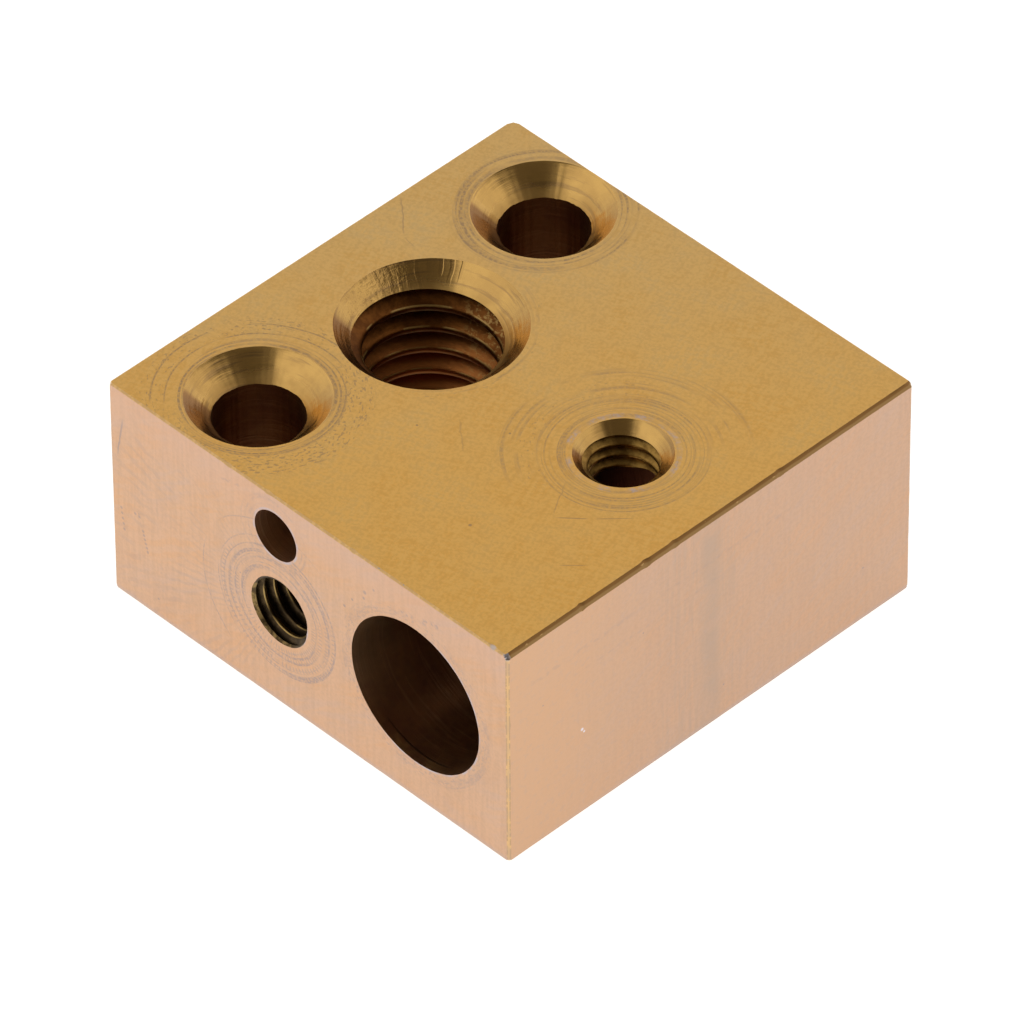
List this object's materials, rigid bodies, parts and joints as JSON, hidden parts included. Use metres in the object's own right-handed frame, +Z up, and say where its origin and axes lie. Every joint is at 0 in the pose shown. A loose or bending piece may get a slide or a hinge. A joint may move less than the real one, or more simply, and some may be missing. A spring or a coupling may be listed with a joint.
{
  "type": "3d printer heater block",
  "caption": "Square machined metal heater block for a 3D printer hot end, with a threaded nozzle hole, heater and sensor bores and countersunk screw holes.",
  "frame": {"origin": "centre of the underside", "axes": "+Z up through the block's height, towards the nozzle's side with the countersinks; -Y out of the face with the sensor and heater holes; +X towards the heater bore's side"},
  "size_m": [0.02, 0.02, 0.0098],
  "materials": {
    "copper": "fine machined satin"
  },
  "bodies": {
    "root": {"heater_block": "copper"}
  },
  "joints": []
}
